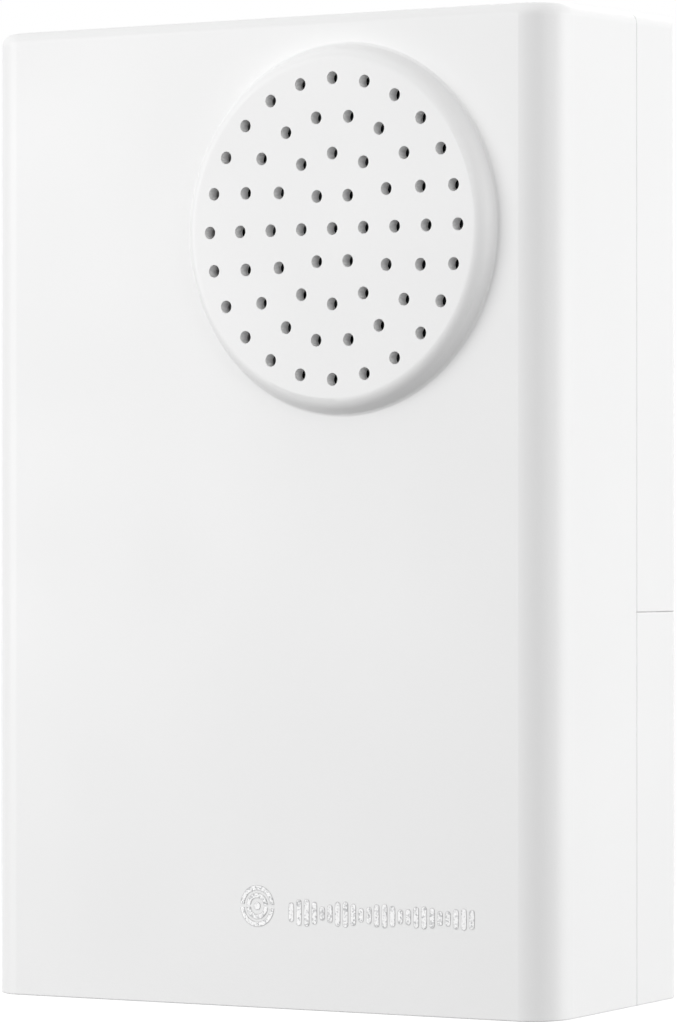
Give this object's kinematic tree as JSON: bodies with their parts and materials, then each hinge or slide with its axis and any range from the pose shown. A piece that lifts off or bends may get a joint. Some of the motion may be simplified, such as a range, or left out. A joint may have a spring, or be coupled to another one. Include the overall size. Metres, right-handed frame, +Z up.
{
  "type": "doorbell chime",
  "caption": "Flat wall-mounted doorbell chime: moulded case with a raised round sound grille, sliding battery cover, speaker, circuit board and cells.",
  "frame": {"origin": "middle of the rear face, where the chime lies on the wall", "axes": "+X to the right seen from the front, +Y into the wall, +Z up; the front faces -Y"},
  "size_m": [0.065, 0.0244, 0.093],
  "materials": {
    "white_abs": "moulded white ABS, satin gloss",
    "zinc_steel": "zinc-plated steel",
    "nickel_steel": "nickel-plated steel",
    "cell_jacket": "plain printed jacket with bright steel ends",
    "basket_steel": "black passivated pressed steel",
    "bare_steel": "turned steel",
    "magnet": "nickel-coated sintered magnet",
    "copper_wire": "enamelled copper winding",
    "cone_film": "formed polyester film",
    "foam": "fine black foam",
    "phenolic_board": "brown phenolic paper board",
    "tinned_brass": "tinned brass",
    "green_board": "green solder mask over glass board",
    "black_resin": "cured black epoxy",
    "can_sleeve": "shrink sleeve over an aluminium can",
    "ceramic_dip": "orange dipped ceramic",
    "black_moulding": "black moulding compound",
    "resistor_paint": "tan lacquer with colour rings",
    "green_nylon": "green nylon",
    "clamp_brass": "brass",
    "red_pvc": "red PVC insulation",
    "black_pvc": "black PVC insulation",
    "white_pvc": "white PVC insulation",
    "blue_pvc": "blue PVC insulation"
  },
  "bodies": {
    "case": {"front_cover": "white_abs", "rear_cover": "white_abs", "case_screws": "zinc_steel", "cell_upper": "cell_jacket", "cell_lower": "cell_jacket", "negative_contact": "nickel_steel", "positive_contact": "nickel_steel", "bridge_contact": "nickel_steel", "negative_spring": "nickel_steel", "bridge_spring": "nickel_steel", "speaker_gasket": "foam", "speaker_frame": "basket_steel", "speaker_yoke": "bare_steel", "speaker_magnet": "magnet", "pole_plate": "bare_steel", "terminal_strip": "phenolic_board", "solder_lugs": "tinned_brass", "speaker_screws": "zinc_steel", "circuit_board": "green_board", "board_screws": "zinc_steel", "chip_blob": "black_resin", "electrolytic_capacitor": "can_sleeve", "ceramic_capacitor": "ceramic_dip", "transistor": "black_moulding", "resistors": "resistor_paint", "terminal_block": "green_nylon", "terminal_clamps": "clamp_brass", "terminal_screws": "zinc_steel", "battery_lead_negative": "black_pvc", "battery_lead_positive": "red_pvc", "speaker_lead_a": "white_pvc", "speaker_lead_b": "blue_pvc"},
    "cover": {"battery_cover": "white_abs"},
    "diaphragm": {"speaker_cone": "cone_film", "voice_coil": "copper_wire"}
  },
  "joints": [
    {"name": "cover_slide", "type": "slide", "parent": "case", "child": "cover", "axis": [0, 0, -1], "range_m": [0, 0.038]},
    {"name": "cone_travel", "type": "slide", "parent": "case", "child": "diaphragm", "axis": [0, -1, 0], "range_m": [-0.0003, 0.0003], "stiffness_N_per_m": 1500}
  ]
}
